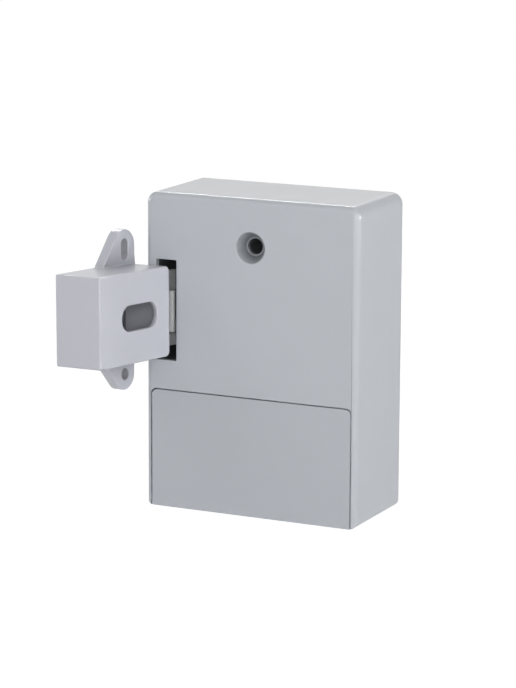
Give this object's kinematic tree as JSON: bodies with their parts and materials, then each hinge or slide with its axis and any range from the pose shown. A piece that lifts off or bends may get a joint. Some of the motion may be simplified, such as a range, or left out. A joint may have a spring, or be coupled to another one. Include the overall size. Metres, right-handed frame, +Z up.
{
  "type": "electronic cabinet lock",
  "caption": "Hidden electronic cabinet lock: boxed case with keeper slot, screw funnel and sliding battery cover, motor bolt inside, and a hollow strike block with screw ears and keeper loop.",
  "frame": {"origin": "middle of the case's back face, where it lies on the cabinet panel", "axes": "+Z up along the case's height, +Y from the front towards the panel behind, +X to the right seen from the front"},
  "size_m": [0.0932, 0.0792, 0.11],
  "materials": {
    "grey_abs": "moulded ABS, light lavender grey, satin",
    "black_abs": "moulded ABS, black, fine texture",
    "steel": "stamped steel, bright",
    "zinc_steel": "zinc plated steel",
    "brass": "cut brass",
    "copper_wire": "enamelled copper winding",
    "white_nylon": "turned white nylon",
    "acetal": "moulded acetal, natural",
    "circuit_board": "glass fibre board with green solder mask",
    "cell_jacket": "plain foil jacket",
    "button_red": "moulded red ABS"
  },
  "bodies": {
    "case": {"antenna_coil": "copper_wire", "back_plate": "black_abs", "battery_tray": "black_abs", "board_screw_1": "zinc_steel", "board_screw_2": "zinc_steel", "board_screw_3": "zinc_steel", "bolt_sensor": "black_abs", "buzzer": "black_abs", "capacitor": "cell_jacket", "case_screw_1": "zinc_steel", "case_screw_2": "zinc_steel", "case_screw_3": "zinc_steel", "case_screw_4": "zinc_steel", "cell_1": "cell_jacket", "cell_2": "cell_jacket", "cell_3": "cell_jacket", "cell_spring_1": "steel", "cell_spring_2": "steel", "cell_spring_3": "steel", "chassis_screw_1": "zinc_steel", "chassis_screw_2": "zinc_steel", "chassis_screw_3": "zinc_steel", "contact_link_left": "steel", "contact_link_right": "steel", "contact_terminal_left": "steel", "contact_terminal_right": "steel", "control_board": "circuit_board", "control_chip": "black_abs", "front_shell": "grey_abs", "gear_axle": "steel", "inner_chassis": "black_abs", "lead_socket": "acetal", "motor_can": "zinc_steel", "motor_screw_1": "zinc_steel", "motor_screw_2": "zinc_steel", "set_switch": "black_abs", "tray_screw_1": "zinc_steel", "tray_screw_2": "zinc_steel"},
    "strike": {"strike_housing": "grey_abs", "strike_base_plate": "grey_abs", "strike_screw_1": "zinc_steel", "strike_screw_2": "zinc_steel", "keeper_fork": "steel", "keeper_pin": "steel"},
    "roller": {"keeper_roller": "white_nylon"},
    "bolt": {"locking_bolt": "steel", "bolt_carriage": "acetal"},
    "gear": {"drive_gear": "acetal"},
    "rotor": {"motor_shaft": "steel", "motor_pinion": "brass"},
    "cover": {"battery_cover": "grey_abs"},
    "button": {"set_button": "button_red"}
  },
  "joints": [
    {"name": "strike_slide", "type": "slide", "parent": "case", "child": "strike", "axis": [0, -1, 0], "range_m": [0, 0.035]},
    {"name": "roller_spin", "type": "hinge", "parent": "strike", "child": "roller", "pos_m": [-0.03316, -0.03019, 0.01276], "axis": [-0.032, 0.0469, 0.9984], "continuous": true},
    {"name": "bolt_slide", "type": "slide", "parent": "case", "child": "bolt", "axis": [-1, 0, 0], "range_m": [0, 0.008]},
    {"name": "gear_spin", "type": "hinge", "parent": "case", "child": "gear", "pos_m": [-0.00795, -0.0265, 0.00384], "axis": [0, -1, 0], "range_deg": [0, 115]},
    {"name": "motor_spin", "type": "hinge", "parent": "case", "child": "rotor", "pos_m": [0.0042, -0.0238, 0.00384], "axis": [0, 1, 0], "range_deg": [0, 346]},
    {"name": "cover_slide", "type": "slide", "parent": "case", "child": "cover", "axis": [0, 0, -1], "range_m": [0, 0.042]},
    {"name": "button_press", "type": "slide", "parent": "case", "child": "button", "axis": [0, 1, 0], "range_m": [0, 0.0007], "stiffness_N_per_m": 600}
  ],
  "couplings": [
    {"joint": "gear_spin", "follows": "bolt_slide", "rad_per_m": 250},
    {"joint": "motor_spin", "follows": "bolt_slide", "rad_per_m": 750}
  ]
}
